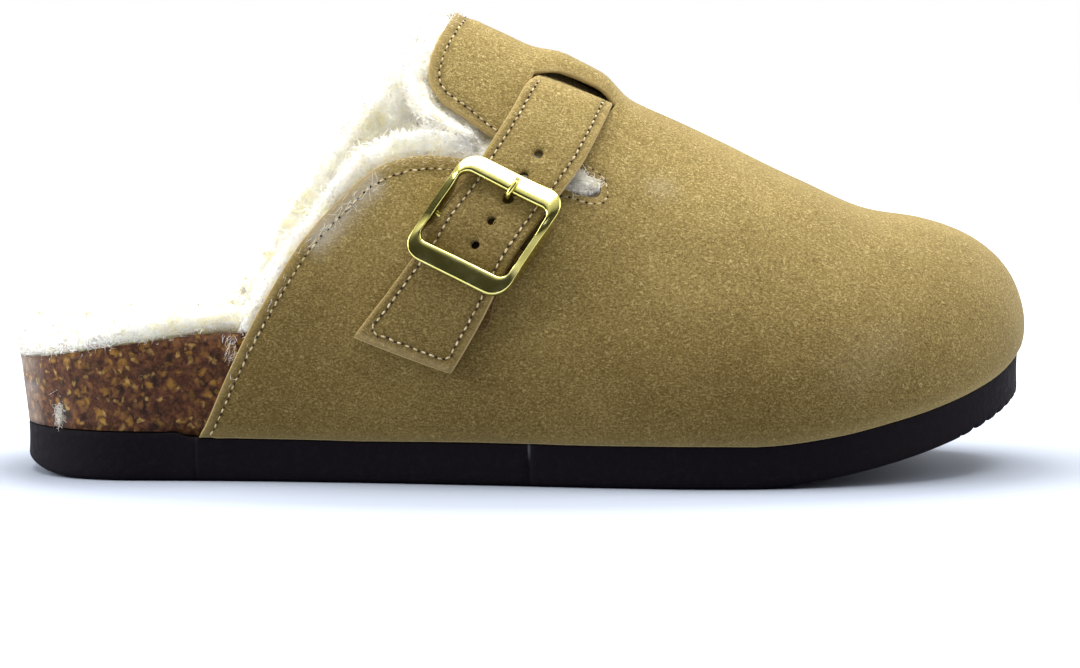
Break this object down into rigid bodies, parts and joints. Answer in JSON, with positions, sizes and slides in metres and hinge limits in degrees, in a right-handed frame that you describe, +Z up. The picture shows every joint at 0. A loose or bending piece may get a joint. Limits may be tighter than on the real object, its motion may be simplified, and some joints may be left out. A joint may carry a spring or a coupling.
{
  "type": "fleece-lined suede clog slipper",
  "caption": "Backless suede house clog for the right foot: fleece-lined closed-toe upper with one buckled instep strap on a cork footbed and a flat foam outsole.",
  "frame": {"origin": "middle of the bottom of the shoe's box, on the floor under the arch", "axes": "+X towards the toe, +Y towards the inner (big toe) side, +Z up"},
  "size_m": [0.268, 0.102, 0.12],
  "materials": {
    "foam_rubber": "matt black foam with a fine pebbled side",
    "cork": "pressed cork granules under a thin satin seal",
    "fleece": "cream curly pile",
    "suede": "khaki-tan brushed nap, lightly scuffed",
    "strap_suede": "khaki-tan brushed nap, stitched along its edges",
    "brass": "polished pale gold"
  },
  "bodies": {
    "root": {"outsole": "foam_rubber", "cork_footbed": "cork", "insole": "fleece", "upper": "suede", "strap": "strap_suede", "buckle_frame": "brass", "buckle_prong": "brass", "buckle_tab": "strap_suede"}
  },
  "joints": []
}
